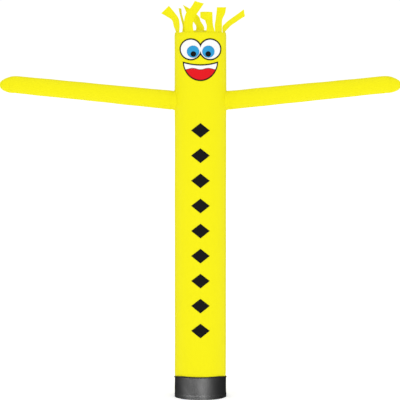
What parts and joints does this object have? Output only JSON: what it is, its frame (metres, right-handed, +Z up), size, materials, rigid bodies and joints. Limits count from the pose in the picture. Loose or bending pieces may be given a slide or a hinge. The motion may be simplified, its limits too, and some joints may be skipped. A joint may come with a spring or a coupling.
{
  "type": "inflatable air dancer",
  "caption": "Inflatable air dancer: upright cloth tube with outstretched sleeves, ribbon hair, a sewn smiling face and a dark base collar that slips over a blower.",
  "frame": {"origin": "centre of the base collar's lower edge, on the ground", "axes": "+Z up along the tube, -Y out of the face, sleeves out along +X and -X"},
  "size_m": [1.8358, 0.2892, 1.8081],
  "materials": {
    "yellow_ripstop": "thin ripstop nylon, plain weave with a fine grid, slight sheen",
    "collar_cloth": "coated heavy woven cloth, soft sheen",
    "edge_tape": "ribbed binding tape, matt",
    "black_cloth": "thin ripstop nylon, sewn on",
    "white_cloth": "thin ripstop nylon, sewn on",
    "blue_cloth": "thin ripstop nylon, sewn on",
    "red_cloth": "thin ripstop nylon, sewn on"
  },
  "bodies": {
    "root": {"body_tube": "yellow_ripstop", "crown_panel": "yellow_ripstop", "hair_ribbon_1": "yellow_ripstop", "hair_ribbon_2": "yellow_ripstop", "hair_ribbon_3": "yellow_ripstop", "hair_ribbon_4": "yellow_ripstop", "hair_ribbon_5": "yellow_ripstop", "hair_ribbon_6": "yellow_ripstop", "hair_ribbon_7": "yellow_ripstop", "sleeve_left": "yellow_ripstop", "sleeve_right": "yellow_ripstop", "base_collar": "collar_cloth", "collar_tape": "edge_tape", "eye_border": "black_cloth", "eye_whites": "white_cloth", "iris_left": "blue_cloth", "iris_right": "blue_cloth", "pupil_left": "black_cloth", "pupil_right": "black_cloth", "mouth_border": "black_cloth", "teeth": "white_cloth", "tongue": "red_cloth", "lozenge_1": "black_cloth", "lozenge_2": "black_cloth", "lozenge_3": "black_cloth", "lozenge_4": "black_cloth", "lozenge_5": "black_cloth", "lozenge_6": "black_cloth", "lozenge_7": "black_cloth", "lozenge_8": "black_cloth", "lozenge_9": "black_cloth"}
  },
  "joints": []
}
